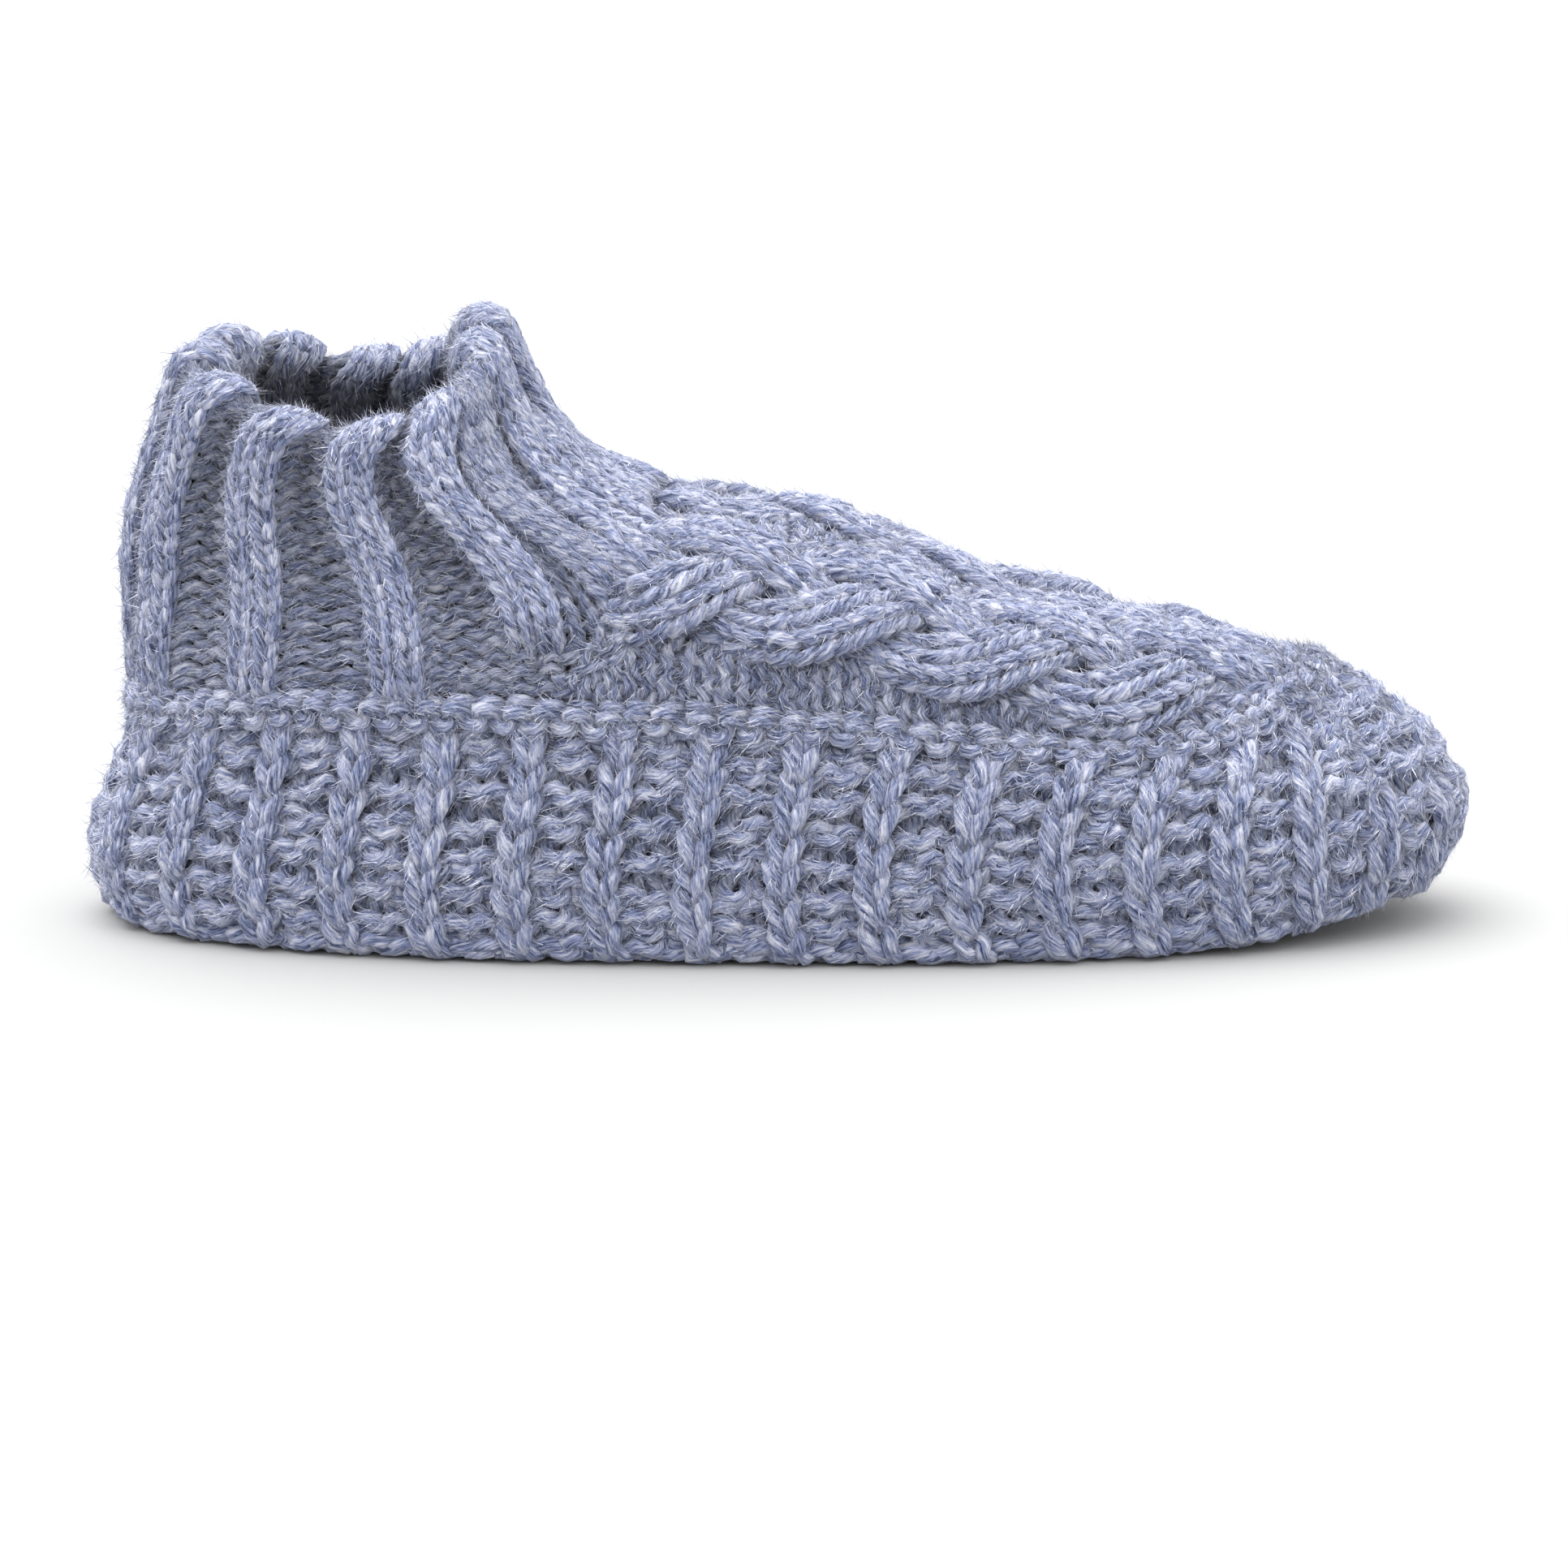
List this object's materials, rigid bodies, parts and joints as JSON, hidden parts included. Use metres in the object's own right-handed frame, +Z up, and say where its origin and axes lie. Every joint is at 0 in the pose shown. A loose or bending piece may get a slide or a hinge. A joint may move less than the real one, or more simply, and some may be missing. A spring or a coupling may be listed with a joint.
{
  "type": "bootie slipper",
  "caption": "Low knitted bootie slipper: ribbed foot band round a flat sole, plaited vamp, ribbed ankle collar with a scalloped open rim.",
  "frame": {"origin": "on the sole's flat underside, midway between heel and toe, on the middle plane", "axes": "+X towards the toe, +Y towards one side, +Z up out of the collar"},
  "size_m": [0.245, 0.0924, 0.1087],
  "materials": {
    "sole_knit": "close plain knit, matt",
    "footbed": "brushed cloth, matt",
    "band_knit": "chunky rib knit in marled yarn, fuzzy, matt",
    "seam_knit": "chain of linked loops in marled yarn, matt",
    "upper_knit": "ribbed and plaited knit in marled yarn, fuzzy, matt"
  },
  "bodies": {
    "root": {"sole": "sole_knit", "insole": "footbed", "foot_band": "band_knit", "linking_seam": "seam_knit", "upper": "upper_knit"}
  },
  "joints": []
}
